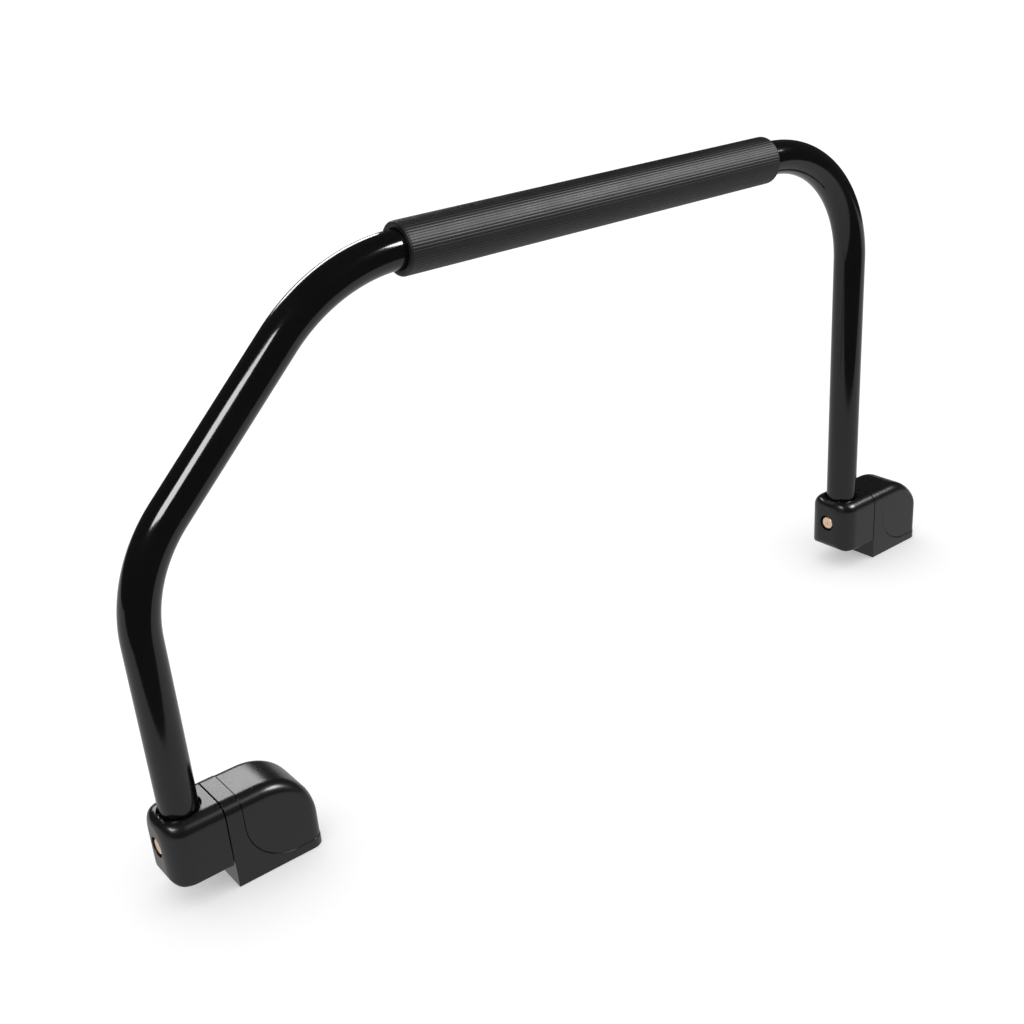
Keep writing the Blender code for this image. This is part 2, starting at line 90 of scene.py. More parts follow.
PIVOT_HEIGHT = box_centre("left_pivot_pin").z
LEG_X = {side: box_centre(f"{side}_set_screw").x for side in SIDES}
GRIP_HEIGHT = box_centre("grip_sleeve").z
TOUCH_GAP = 0.0003            # between pieces that touch
OVERCUT = 0.002               # how far a cutter reaches past what it cuts
WHITE = (1.0, 1.0, 1.0, 1.0)
WORLD_GLOW = 0.95             # of the even light on everything
ROOM_GLOW = 0.045             # of the dark room in reflections
SHEET_GLOW = 0.62             # of the pale sheet under the rail in reflections


# Sizes and colours that a user may change

def length(name, default, description):
    return FloatProperty(
        name=name, default=default, description=description, unit="LENGTH", precision=5
    )


def colour(name, default, description):
    return FloatVectorProperty(
        name=name, default=default, description=description, subtype="COLOR", size=3, min=0, max=1
    )


class AssistRailTube(PropertyGroup):
    diameter: length("Diameter", box_size("rail_tube").y, "Outside diameter of the tube")
    wall: length("Wall", 0.0016, "Thickness of the tube's wall")
    lower_bend_height: length("Lower bend", 0.2531, "Height at which the left leg meets the slope")
    slope_reach: length("Slope reach", 0.1747, "How far along X the slope runs to the top run")
    lower_radius: length("Lower radius", 0.1139, "Radius of the bend above the left leg")
    upper_radius: length("Upper radius", 0.1467, "Radius of the bend left of the top run")
    corner_radius: length("Corner radius", 0.1104, "Radius of the bend above the right leg")


class AssistRailGrip(PropertyGroup):
    diameter: length("Diameter", 0.0392, "Outside diameter over the ribs")
    rib_depth: length("Rib depth", 0.00015, "Depth of the grooves between the ribs")
    end_radius: length("End radius", 0.0016, "Rounding of the sleeve's ends")
    ribs: IntProperty(name="Ribs", default=53, min=8, description="Number of ribs around the grip")


class AssistRailMount(PropertyGroup):
    half_width: length("Half width", 0.0242, "Half of the mount's width across the rail")
    top: length("Top", 0.0707, "Height of the mount above its mounting face")
    top_fillet: length("Top fillet", 0.0104, "Rounding of the upper edges along the mount")
    corner_radius: length("Corner radius", 0.0165, "Rounding in plan of the housing's nose")
    nose_fillet: length("Nose fillet", 0.0070, "Rounding over the top of the housing's nose")
    chin_fillet: length("Chin fillet", 0.0080, "Rounding under the housing's nose")
    bottom_fillet: length("Bottom fillet", 0.0025, "Rounding of the housing's lower edges")
    edge_radius: length("Edge radius", 0.0003, "Rounding of the edges beside the swivel gap")
    groove_radius: length("Groove radius", 0.0005, "Radius of the groove along the line of the cap")
    band: length("Band", 0.0125, "Length of the base's band beside the housing")
    band_step: length("Band step", 0.0004, "How far the band stands out beyond the cap")
    rim_height: length("Rim height", 0.0072, "Height of the base's rim under the cap")
    seam_radius: length("Seam radius", 0.0385, "Radius of the curved line between base and cap")
    dome_radius: length("Dome radius", 0.0429, "Radius of the cap's dome")
    end_radius: length("End radius", 0.0100, "Rounding in plan of the base's far end")
    base_wall: length("Base wall", 0.0030, "Thickness of the base's side walls")
    base_floor: length("Base floor", 0.0050, "Thickness of the base's floor")
    web: length("Web", 0.0050, "Thickness of the web that holds the pin")
    cap_wall: length("Cap wall", 0.0024, "Thickness of the cap")
    socket_floor: length("Socket floor", 0.0040, "Floor of the tube's socket")
    recess_depth: length("Recess depth", 0.0040, "Depth of the recess around the tube")
    recess_margin: length("Recess margin", 0.0019, "Width of the recess around the tube")


class AssistRailPivot(PropertyGroup):
    pin: length("Pin", 0.0095, "Diameter of the pin's shank")
    thread: length("Thread", 0.0080, "Diameter of the pin's thread")
    head: length("Head", 0.0120, "Diameter of the pin's head")
    head_length: length("Head length", 0.0030, "Length of the pin's head")
    spring_bore: length("Spring bore", 0.0156, "Diameter of the bore around the spring")
    bush: length("Bush", 0.0140, "Outside diameter of the nylon bush")
    wire: length("Wire", 0.0013, "Diameter of the spring's wire")
    turns: IntProperty(name="Turns", default=8, min=4, description="Turns of the spring")


class AssistRailFinish(PropertyGroup):
    tube: colour("Tube", (0.0030, 0.0030, 0.0034), "Gloss powder coat")
    grip: colour("Grip", (0.0080, 0.0083, 0.0085), "Foam of the grip")
    mount: colour("Mounts", (0.0045, 0.0048, 0.0062), "Moulded nylon of the mounts")
    pin: colour("Pin", (0.9700, 0.6600, 0.4700), "Copper-toned metal of the pivot pin")
    steel: colour("Steel", (0.5800, 0.5900, 0.6100), "Zinc-plated steel")
    nylon: colour("Nylon", (0.7200, 0.7000, 0.6300), "Natural nylon of bushes and washers")
    screw: colour("Screws", (0.0450, 0.0450, 0.0480), "Black oxide of the set screws")


# Surfaces as numpy grids

def new_piece(name, mesh):
    piece = bpy.data.objects.new(name, mesh)
    bpy.context.scene.collection.objects.link(piece)
    return piece


def grid_piece(name, grid, looped=False):
    """A closed body from a grid of points.

    grid[i, j] is a point, where j runs around each ring and comes back to its start. i runs from
    ring to ring, and either comes back to the first ring or ends in a flat face at each end.
    """
    rings, around = grid.shape[:2]
    index = np.arange(rings * around).reshape(rings, around)
    here = index if looped else index[:-1]
    ahead = np.roll(index, -1, axis=0) if looped else index[1:]
    quads = np.stack([here, np.roll(here, -1, 1), np.roll(ahead, -1, 1), ahead], axis=-1)
    faces = quads.reshape(-1, 4).tolist()
    if not looped:
        faces += [index[0].tolist(), index[-1].tolist()]
    mesh = bpy.data.meshes.new(name)
    mesh.from_pydata(grid.reshape(-1, 3).tolist(), [], faces)
    shape = bmesh.new()
    shape.from_mesh(mesh)
    bmesh.ops.recalc_face_normals(shape, faces=shape.faces[:])
    shape.to_mesh(mesh)
    shape.free()
    return new_piece(name, mesh)


def turns(count):
    return np.arange(count) * (2 * math.pi / count)


def points(x, y, z):
    return np.stack(np.broadcast_arrays(x, y, z), axis=-1)


def unit(vectors):
    return vectors / np.linalg.norm(vectors, axis=-1, keepdims=True)


def filleted(corners, radii, step=math.radians(6)):
    """A polyline in a plane with its inner corners rounded to the given radii.

    Each corner is replaced by the arc that touches both of its sides: with the turn t, the arc's
    centre lies radius / cos(t / 2) from the corner, along the line that halves the corner.
    """
    corners = np.array(corners, float)
    line = [corners[0]]
    for before, corner, after, radius in zip(corners, corners[1:], corners[2:], radii):
        coming, going = unit(corner - before), unit(after - corner)
        turn = math.acos(np.clip(coming @ going, -1, 1))
        if radius == 0 or turn < 1e-6:
            line.append(corner)
            continue
        inward, along = unit(going - coming), unit(coming + going)
        centre = corner + inward * radius / math.cos(turn / 2)
        angles = np.linspace(-turn / 2, turn / 2, max(2, math.ceil(turn / step) + 1))[:, None]
        line.extend(centre + radius * (along * np.sin(angles) - inward * np.cos(angles)))
    line.append(corners[-1])
    return np.array(line)


def rings_along_x(x, radius, angle, centre=(0.0, PIVOT_HEIGHT)):
    """One ring for each x: the points (x, centre y + radius cos a, centre z + radius sin a)."""
    return points(x, centre[0] + radius * np.cos(angle), centre[1] + radius * np.sin(angle))


def around_x(profile, centre=(0.0, PIVOT_HEIGHT), sides=96):
    """Rings about a line along X: profile holds (place along X, radius)."""
    profile = np.asarray(profile)
    return rings_along_x(profile[:, :1], profile[:, 1:], turns(sides), centre)


def around_z(profile, x, sides=48):
    """Rings about a vertical line through x: profile holds (height, radius)."""
    rings = around_x(profile, (0.0, 0.0), sides)
    return points(x + rings[..., 1], rings[..., 2], rings[..., 0])


def along_y(rings, x, z):
    """Rings about the X axis, turned to run along Y through x and z."""
    return points(x + rings[..., 1], rings[..., 0], z + rings[..., 2])


def thread(place, angle, major, pitch, depth):
    """A screw thread's radius: major - depth (1 - cos(2 pi place / pitch - a)) / 2."""
    return major - depth * (1 - np.cos(2 * math.pi * place[:, None] / pitch - angle)) / 2


def drop(distance, radius):
    """How far a rounded edge lies below its corner, at this distance in from the end.

    radius - sqrt(radius^2 - (radius - distance)^2) up to the radius, and nothing beyond it.
    """
    inside = np.clip(radius - np.asarray(distance, float), 0, radius)
    return radius - np.sqrt(radius * radius - inside * inside)


def block_grid(x, half_width, bottom, top, top_fillet, bottom_fillet):
    """Sections of a mount across X, one for each x, as rings of rounded rectangles.

    Each corner is a quarter circle of its fillet, held within 0.92 of the half width and 0.45 of
    the height. Each side between two corners is a straight line cut into equal steps.
    """
    half_width, bottom, top = (
        np.broadcast_to(value, x.shape).astype(float) for value in (half_width, bottom, top)
    )
    limit = np.minimum(0.92 * half_width, 0.45 * (top - bottom))
    arc_steps, flat_steps = 14, 5
    corners = []
    for side, height, inward, fillet, start in (
        (1, bottom, 1, bottom_fillet, -90),
        (1, top, -1, top_fillet, 0),
        (-1, top, -1, top_fillet, 90),
        (-1, bottom, 1, bottom_fillet, 180),
    ):
        radius = np.minimum(fillet, limit)[:, None]
        angle = np.radians(start + np.linspace(0, 90, arc_steps + 1 if fillet > 0 else 1))[None, :]
        y = side * (half_width[:, None] - radius) + radius * np.cos(angle)
        z = height[:, None] + inward * radius + radius * np.sin(angle)
        corners.append(np.stack([y, z], axis=-1))
    sides = []
    share = np.linspace(0, 1, flat_steps + 1)[1:-1][None, :, None]
    for corner, following in zip(corners, corners[1:] + corners[:1]):
        start, end = corner[:, -1:], following[:, :1]
        sides += [corner, start + (end - start) * share]
    outline = np.concatenate(sides, axis=1)
    places = np.broadcast_to(x[:, None, None], outline.shape[:2] + (1,))
    return np.concatenate([places, outline], axis=-1)


def quarter(steps):
    """Distances from a quarter circle's end, as shares of its radius, closest at the end."""
    return 1 - np.cos(np.linspace(0, math.pi / 2, steps + 1))


# Cutting and finishing

def carve(piece, cutters, operation="DIFFERENCE"):
    """Cuts the piece by closed bodies, which are used up, and keeps the resulting mesh."""
    for cutter in cutters:
        modifier = piece.modifiers.new("cut", "BOOLEAN")
        modifier.operation = operation
        modifier.solver = "EXACT"
        modifier.object = cutter
    depsgraph = bpy.context.evaluated_depsgraph_get()
    cut_mesh = bpy.data.meshes.new_from_object(piece.evaluated_get(depsgraph))
    piece.modifiers.clear()
    piece.data = cut_mesh
    for cutter in cutters:
        bpy.data.objects.remove(cutter)
    shape = bmesh.new()
    shape.from_mesh(cut_mesh)
    bmesh.ops.remove_doubles(shape, verts=shape.verts[:], dist=2e-5)
    bmesh.ops.dissolve_degenerate(shape, edges=shape.edges[:], dist=1e-6)
    shape.to_mesh(cut_mesh)
    shape.free()


def smooth(piece, sharp):
    """Smooth shading that breaks at sharp edges, weighted so that flat faces stay flat."""
    piece.data.shade_smooth()
    piece.data.set_sharp_from_angle(angle=math.radians(sharp))
    weighted = piece.modifiers.new("flat faces", "WEIGHTED_NORMAL")
    weighted.keep_sharp = True
    weighted.weight = 80


def install(piece, node, material, sharp=32):
    """Puts a piece in its node's place, on the same body and in the same slot, and shades it."""
    smooth(piece, sharp)
    piece.data.materials.clear()
    piece.data.materials.append(finish(material))
    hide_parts(node)
    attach(piece, BODY_OF[node])


# Finishes

def set_inputs(tree, node, values):
    """Sets a node's inputs to numbers, or joins them to other nodes' outputs."""
    for socket, value in values.items():
        if isinstance(value, bpy.types.NodeSocket):
            tree.links.new(value, node.inputs[socket])
        else:
            node.inputs[socket].default_value = value


def add_node(tree, kind, values=None, **settings):
    """A node with its settings and inputs."""
    made = tree.nodes.new(kind)
    for key, value in settings.items():
        setattr(made, key, value)
    set_inputs(tree, made, values or {})
    return made


def empty_tree(owner):
    """The node tree of a material or a world, with nothing in it."""
    owner.use_nodes = True
    owner.node_tree.nodes.clear()
    return owner.node_tree


def new_group(name, inputs, outputs):
    """An empty shader group with float sockets: the group, its inputs, the place and its output."""
    group = bpy.data.node_groups.new(name, "ShaderNodeTree")
    for socket, default in inputs.items():
        made = group.interface.new_socket(socket, in_out="INPUT", socket_type="NodeSocketFloat")
        made.default_value = default
    for socket in outputs:
        group.interface.new_socket(socket, in_out="OUTPUT", socket_type="NodeSocketFloat")
    given = add_node(group, "NodeGroupInput").outputs
    place = add_node(group, "ShaderNodeTexCoord").outputs["Object"]
    return group, given, place, add_node(group, "NodeGroupOutput")


def scaled_noise(group, vector, scale, detail=3.0, roughness=0.5):
    values = {"Vector": vector, "Scale": scale, "Detail": detail, "Roughness": roughness}
    return add_node(group, "ShaderNodeTexNoise", values).outputs["Fac"]


def maths(tree, operation, first, second=0.0):
    return add_node(tree, "ShaderNodeMath", {0: first, 1: second}, operation=operation).outputs[0]


def plus(tree, first, second):
    return maths(tree, "ADD", first, second)


def times(tree, first, second):
    return maths(tree, "MULTIPLY", first, second)


def spread(tree, value, low, high, to_low, to_high):
    """The value moved from one range to another and held inside it."""
    ranges = {"From Min": low, "From Max": high, "To Min": to_low, "To Max": to_high}
    values = {"Value": value, **ranges}
    return add_node(tree, "ShaderNodeMapRange", values, clamp=True).outputs["Result"]


def grain_group():
    """Fine grain: Height from two sizes of noise, and Cloud from a much broader one."""
    sockets = {"Scale": 1000.0, "Cloud Scale": 20.0}
    group, given, place, out = new_group("fine_grain", sockets, ["Height", "Cloud"])
    fine = scaled_noise(group, place, given["Scale"], 2.0)
    broad = scaled_noise(group, place, times(group, given["Scale"], 0.31), 1.0)
    height = plus(group, times(group, fine, 0.6), times(group, broad, 0.4))
    cloud = scaled_noise(group, place, given["Cloud Scale"], 4.0, 0.6)
    set_inputs(group, out, {"Height": height, "Cloud": cloud})
    return group


def cells_group():
    """Foam cells: Height from the distance to the nearest cell's middle, and a mask of painted
    shade in the pit near each cell's middle.
    """
    group, given, place, out = new_group("foam_cells", {"Scale": 1800.0}, ["Height", "Painted Pit Shade"])
    cells = add_node(group, "ShaderNodeTexVoronoi", {"Vector": place, "Scale": given["Scale"]})
    small = scaled_noise(group, place, times(group, given["Scale"], 1.9), 2.0)
    distance = cells.outputs["Distance"]
    height = plus(group, times(group, distance, 0.6), times(group, small, 0.5))
    set_inputs(group, out, {"Height": height, "Painted Pit Shade": spread(group, distance, 0.0, 0.22, 1.0, 0.0)})
    return group


def dust_group():
    """Settled dust: Mask is strong where the surface faces up, and broken up by noise."""
    group, given, place, out = new_group("settled_dust", {"Scale": 260.0, "Amount": 0.3}, ["Mask"])
    normal = add_node(group, "ShaderNodeNewGeometry").outputs["Normal"]
    up = add_node(group, "ShaderNodeSeparateXYZ", {0: normal}).outputs["Z"]
    patches = scaled_noise(group, place, given["Scale"], 5.0, 0.7)
    specks = spread(group, patches, 0.52, 0.75, 0.0, 1.0)
    film = spread(group, scaled_noise(group, place, 18.0, 3.0), 0.35, 0.75, 0.1, 0.6)
    covered = times(group, plus(group, specks, film), spread(group, up, 0.2, 1.0, 0.0, 1.0))
    set_inputs(group, out, {"Mask": times(group, covered, given["Amount"])})
    return group


def rings_group():
    """Turning marks: Height is a wave of the distance from the pivot axis, shaken by noise."""
    group, given, place, out = new_group("turning_marks", {"Pitch": 0.00022}, ["Height", "Shade"])
    vector = "ShaderNodeVectorMath"
    raised = add_node(group, vector, {0: place, 1: (0, 0, -PIVOT_HEIGHT)}, operation="ADD")
    flat = add_node(group, vector, {0: raised.outputs[0], 1: (0, 1, 1)}, operation="MULTIPLY")
    radius = add_node(group, vector, {0: flat.outputs[0]}, operation="LENGTH").outputs["Value"]
    shake = times(group, scaled_noise(group, place, 900.0), 0.0002)
    phase = maths(group, "DIVIDE", plus(group, radius, shake), given["Pitch"])
    wave = maths(group, "SINE", times(group, phase, 2 * math.pi))
    set_inputs(group, out, {"Height": wave, "Shade": spread(group, wave, -1.0, 1.0, 0.85, 1.0)})
    return group


def start_material(name):
    """An empty material with a Principled BSDF joined to its output."""
    material = bpy.data.materials.new(name)
    tree = empty_tree(material)
    shader = add_node(tree, "ShaderNodeBsdfPrincipled")
    add_node(tree, "ShaderNodeOutputMaterial", {"Surface": shader.outputs["BSDF"]})
    return material, tree, shader


def use_group(tree, name, **values):
    """The outputs of a shared group, which is made the first time that it is asked for."""
    makers = {
        "fine_grain": grain_group,
        "foam_cells": cells_group,
        "settled_dust": dust_group,
        "turning_marks": rings_group,
    }
    group = bpy.data.node_groups.get(name) or makers[name]()
    node = add_node(tree, "ShaderNodeGroup", node_tree=group)
    set_inputs(tree, node, {socket.replace("_", " "): value for socket, value in values.items()})
    return node.outputs


def blend_colours(tree, factor, first, second):
    values = {0: factor, 6: first, 7: second}
    return add_node(tree, "ShaderNodeMix", values, data_type="RGBA").outputs[2]


def bump(tree, height, strength, distance):
    values = {"Height": height, "Strength": strength, "Distance": distance}
    return add_node(tree, "ShaderNodeBump", values).outputs["Normal"]


def clouded(tree, grain, low, high):
    """A value that drifts from low to high with the grain's cloud."""
    return spread(tree, grain["Cloud"], 0.3, 0.7, low, high)


def shaded(base, share):
    """The colour with each channel multiplied by this share, and full alpha."""
    return tuple(min(1.0, channel * share) for channel in base) + (1.0,)


def tinted(tree, grain, base, share):
    """The colour, darker and lighter by this share with the grain's cloud."""
    return blend_colours(tree, grain["Cloud"], shaded(base, 1 - share), shaded(base, 1 + share))


# Each finish gives the inputs of its material's shader

def powder_coat(tree, base):
    """Gloss black powder coat with a faint orange peel and a trace of dust on top."""
    grain = use_group(tree, "fine_grain", Scale=420.0, Cloud_Scale=14.0)
    dust = use_group(tree, "settled_dust", Scale=420.0, Amount=0.02)["Mask"]
    coat = tinted(tree, grain, base, 0.3)
    return {
        "Base Color": blend_colours(tree, dust, coat, (0.16, 0.16, 0.165, 1.0)),
        "Roughness": plus(tree, clouded(tree, grain, 0.085, 0.125), dust),
        "Specular IOR Level": 0.5,
        "Normal": bump(tree, grain["Height"], 0.05, 0.0004),
    }


def moulded_nylon(tree, base):
    """Satin black nylon with a fine moulded grain."""
    grain = use_group(tree, "fine_grain", Scale=2600.0, Cloud_Scale=45.0)
    dust = use_group(tree, "settled_dust", Scale=380.0, Amount=0.015)["Mask"]
    body = tinted(tree, grain, base, 0.14)
    return {
        "Base Color": blend_colours(tree, dust, body, (0.20, 0.20, 0.205, 1.0)),
        "Roughness": plus(tree, clouded(tree, grain, 0.25, 0.28), dust),
        "Specular IOR Level": 0.48,
        "Normal": bump(tree, grain["Height"], 0.06, 0.0003),
    }


def ribbed_foam(tree, base):
    """Matte charcoal foam with an open, fine-celled skin, and painted shade darkening the cells'
    pits.
    """
    cells = use_group(tree, "foam_cells", Scale=1500.0)
    grain = use_group(tree, "fine_grain", Scale=900.0, Cloud_Scale=30.0)
    skin = tinted(tree, grain, base, 0.18)
    return {
        # painted shade: the colour falls to 0.55 of the foam's own in each cell's pit
        "Base Color": blend_colours(tree, cells["Painted Pit Shade"], skin, shaded(base, 0.55)),
        "Roughness": clouded(tree, grain, 0.45, 0.52),
        "Normal": bump(tree, cells["Height"], 0.12, 0.0003),
    }


def turned_metal(tree, base):
    """Machined, copper-toned metal with fine rings around the pivot axis."""
    rings = use_group(tree, "turning_marks", Pitch=0.00022)
    grain = use_group(tree, "fine_grain", Scale=1800.0, Cloud_Scale=160.0)
    ridges = tinted(tree, grain, base, 0.12)
    return {
        "Base Color": blend_colours(tree, rings["Shade"], shaded(base, 0.7), ridges),
        "Roughness": spread(tree, grain["Height"], 0.3, 0.7, 0.25, 0.36),
        "Metallic": 0.72,
        "Normal": bump(tree, rings["Height"], 0.2, 0.00004),
    }


def plated_steel(tree, base, roughness):
    """Plated or oxided steel: cloudy tone and a slightly uneven surface."""
    grain = use_group(tree, "fine_grain", Scale=1500.0, Cloud_Scale=220.0)
    return {
        "Base Color": tinted(tree, grain, base, 0.22),
        "Roughness": clouded(tree, grain, roughness - 0.06, roughness + 0.08),
        "Metallic": 1.0,
        "Normal": bump(tree, grain["Height"], 0.10, 0.00012),
    }


def natural_nylon(tree, base):
    """Milky machined nylon."""
    grain = use_group(tree, "fine_grain", Scale=1400.0, Cloud_Scale=90.0)
    return {
        "Base Color": tinted(tree, grain, base, 0.08),
        "Roughness": clouded(tree, grain, 0.38, 0.50),
        "Subsurface Weight": 0.15,
        "Subsurface Scale": 0.002,
        "Normal": bump(tree, grain["Height"], 0.08, 0.0002),
    }


def finish(name):
    """The material of this name, made the first time that it is asked for."""
    if name in bpy.data.materials:
        return bpy.data.materials[name]
    colours = bpy.context.scene.assist_rail_finish
    make, *values = {
        "gloss_powder_coat": (powder_coat, colours.tube),
        "satin_moulded_nylon": (moulded_nylon, colours.mount),
        "ribbed_foam": (ribbed_foam, colours.grip),
        "copper_toned_pin": (turned_metal, colours.pin),
        "zinc_plate": (plated_steel, colours.steel, 0.34),
        "spring_steel": (plated_steel, shaded(colours.steel, 0.7)[:3], 0.28),
        "natural_nylon": (natural_nylon, colours.nylon),
        "black_oxide": (plated_steel, colours.screw, 0.42),
    }[name]
    material, tree, shader = start_material(name)
    set_inputs(tree, shader, make(tree, *values))
    return material


# Shapes of the pieces

def rail_route(tube):
    """The tube's axis in X and Z, with its three bends as arcs."""
    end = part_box("rail_tube")[0].z
    corners = [
        (LEG_X["left"], end),
        (LEG_X["left"], tube.lower_bend_height),
        (LEG_X["left"] + tube.slope_reach, GRIP_HEIGHT),
        (LEG_X["right"], GRIP_HEIGHT),
        (LEG_X["right"], end),
    ]
    radii = (tube.lower_radius, tube.upper_radius, tube.corner_radius)
    return filleted(corners, radii, math.radians(1.5))


def tube_grid(tube):
    """The tube's wall: rings across its route, out along the outside and back along the inside.

    A ring point is the route's point + radius (cos a normal + sin a Y), where the normal lies in
    the rail's plane, square to the route.
    """
    route = rail_route(tube)
    step = unit(np.diff(route, axis=0))
    along = unit(np.concatenate([step[:1], step[:-1] + step[1:], step[-1:]]))
    angle = turns(72)
    walls = []
    for radius in (tube.diameter / 2, tube.diameter / 2 - tube.wall):
        x = route[:, :1] + along[:, 1:] * radius * np.cos(angle)
        z = route[:, 1:] - along[:, :1] * radius * np.cos(angle)
        walls.append(points(x, radius * np.sin(angle), z))
    return np.concatenate([walls[0], walls[1][::-1]])


def grip_grid(grip, tube):
    """The ribbed sleeve: rings along X, where each ring's radius waves with the angle.

    The groove's share is ((1 + cos(ribs a)) / 2)^3, which leaves broad ribs and narrow grooves.
    It fades out over each rounded end.
    """
    low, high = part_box("grip_sleeve")
    start, end = low.x, high.x
    outer = grip.diameter / 2
    inner = tube.diameter / 2 + TOUCH_GAP
    round_end = grip.end_radius * quarter(8)
    middle = np.linspace(start, end, 25)[1:-1]
    x = np.concatenate([start + round_end, middle, (end - round_end)[::-1]])
    from_end = np.minimum(x - start, end - x)
    fall = drop(from_end, grip.end_radius)
    fade = np.clip(from_end / grip.end_radius, 0.25, 1)
    angle = turns(grip.ribs * 12)
    groove = ((1 + np.cos(grip.ribs * angle)) / 2) ** 3
    radius = outer - fall[:, None] - grip.rib_depth * fade[:, None] * groove[None, :]
    lip = 0.0006
    bore = np.array([[inner + lip], [inner], [inner], [inner + lip]]) + 0 * angle
    radius = np.concatenate([radius, bore])
    x = np.concatenate([x, [end, end - lip, start + lip, start]])[:, None]
    return rings_along_x(x, radius, angle, (0.0, GRIP_HEIGHT))


def housing_grid(side, mount):
    """The housing: sections along X, narrowed in plan and lowered over the nose."""
    low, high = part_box(f"{side}_housing")
    nose = mount.corner_radius * quarter(22)
    flat = np.linspace(low.x + mount.corner_radius, high.x - mount.edge_radius, 12)[1:]
    x = np.concatenate([low.x + nose, flat, high.x - mount.edge_radius * quarter(4)[::-1][1:]])
    inset = drop(high.x - x, mount.edge_radius)
    half_width = mount.half_width - drop(x - low.x, mount.corner_radius) - inset
    top = mount.top - drop(x - low.x, mount.nose_fillet) - inset
    bottom = low.z + drop(x - low.x, mount.chin_fillet) + inset
    return block_grid(x, half_width, bottom, top, mount.top_fillet, mount.bottom_fillet)


def fixed_grid(side, mount, start, bottom, inset=0.0, edge=0.0):
    """The fixed part of a mount from x = start: flat, then domed and rounded at its far end.

    Its edge at the start may be rounded, and its whole surface set in by the given amount.
    """
    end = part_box(f"{side}_base")[1].x - inset
    dome = mount.dome_radius - inset
    corner = mount.end_radius - inset
    dome_start = end - dome
    leading = start + edge * quarter(4) if edge > 0 else np.array([start])
    flat = np.linspace(leading[-1], dome_start, 8)[1:]
    domed = dome_start + dome * np.sin(np.linspace(0, math.pi / 2, 41))[1:]
    x = np.concatenate([leading, flat, domed])
    worn = drop(x - start, edge) if edge > 0 else 0.0
    top = mount.top - inset - drop(end - x, dome) - worn
    half_width = mount.half_width - inset - drop(end - x, corner) - worn
    return block_grid(x, half_width, bottom, top, mount.top_fillet - inset, 0.0)


def seam_arc(band_end, mount, offset, steps):
    """The arc between band and rim in X and Z, with its radius less the offset."""
    radius = mount.seam_radius - offset
    angle = np.radians(np.linspace(180, 270, steps))
    x = band_end + mount.seam_radius + radius * np.cos(angle)
    return x, mount.rim_height + mount.seam_radius + radius * np.sin(angle)


def seam_grid(side, mount, offset=0.0):
    """Everything on the cap's side of the seam, as an outline in X and Z carried across the mount.

    The outline runs down the band, round the arc of the seam, and along the rim to the far end.
    """
    band_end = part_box(f"{side}_base")[0].x + mount.band
    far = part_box(f"{side}_base")[1].x + OVERCUT
    high = mount.top + OVERCUT
    arc_x, arc_z = seam_arc(band_end, mount, offset, 49)
    x = np.concatenate([[band_end + offset], arc_x, [far, far]])
    z = np.concatenate([[high], arc_z, [mount.rim_height + offset, high]])
    reach = mount.half_width + OVERCUT
    return np.stack([points(x, y, z) for y in (-reach, reach)])


def groove_grid(side, mount):
    """A thin round rod bent along the line where the cap meets the base, all the way round.

    The line runs over the top in the plane of the band, down each side and round the seam's arc,
    then along the rim, where y = half width - drop(distance from the far end), to its own mirror
    image. A ring point is the line's point + radius (cos a U + sin a V), with U and V square to it.
    """
    low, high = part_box(f"{side}_base")
    half_gap, half_step = TOUCH_GAP / 2, mount.band_step / 2
    band_end = low.x + mount.band + half_gap
    end = high.x - half_step
    half_width = mount.half_width - half_step
    top = mount.top - half_step
    seam_top = mount.rim_height + mount.seam_radius
    over = filleted(
        [(0, top), (half_width, top), (half_width, seam_top)], (mount.top_fillet - half_step,)
    )[1:]
    arc_x, arc_z = seam_arc(band_end - half_gap, mount, half_gap, 31)
    bend = np.radians(np.linspace(0, 90, 13))
    corner = mount.end_radius - half_step
    rim_x = end - corner + corner * np.sin(bend)
    rim_y = half_width - corner + corner * np.cos(bend)
    half = np.concatenate([
        points(band_end, over[:, 0], over[:, 1]),
        points(arc_x, half_width, arc_z)[1:],
        points(rim_x, rim_y, mount.rim_height + half_gap),
    ])
    line = np.concatenate([half, half[::-1] * (1, -1, 1)])
    along = unit(np.roll(line, -1, axis=0) - np.roll(line, 1, axis=0))
    outward = line - ((band_end + end) / 2, 0.0, mount.top / 2)
    first = unit(np.cross(along, outward))
    second = np.cross(along, first)
    turn = turns(12)[None, :, None]
    ring = first[:, None] * np.cos(turn) + second[:, None] * np.sin(turn)
    return line[:, None] + mount.groove_radius * ring


def pin_grid(side, pivot):
    """The pin: a turned outline with a dimple in its head, and a helical thread at its far end."""
    low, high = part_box(f"{side}_pivot_pin")
    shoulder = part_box(f"{side}_thrust_washer")[1].x
    head_end = low.x + pivot.head_length
    neck, neck_length = pivot.thread / 2 - 0.0002, 0.0012
    dimple = ((0.0007, 0.0004), (0.0002, 0.0013), (0.0, 0.0017))
    corners = [
        *((low.x + inward, radius) for inward, radius in dimple),
        (low.x, pivot.head / 2),
        (head_end, pivot.head / 2),
        (head_end, pivot.pin / 2),
        (shoulder, pivot.pin / 2),
        (shoulder, neck),
        (shoulder + neck_length, neck),
    ]
    plain = filleted(corners, (0, 0.0006, 0.0007, 0.0003, 0.0002, 0.0002, 0.0002), math.radians(12))
    major, pitch, depth, tip = pivot.thread / 2, 0.00125, 0.0006, 0.0006
    x = np.arange(shoulder + 0.0014, high.x - 0.0009, pitch / 10)
    angle = turns(96)
    radius = np.concatenate([
        plain[:, 1:] + 0 * angle,
        thread(x, angle, major, pitch, depth),
        np.array([[major - depth], [major - depth - tip]]) + 0 * angle,
    ])
    x = np.concatenate([plain[:, 0], x, [high.x - tip, high.x]])[:, None]
    return rings_along_x(x, radius, angle)


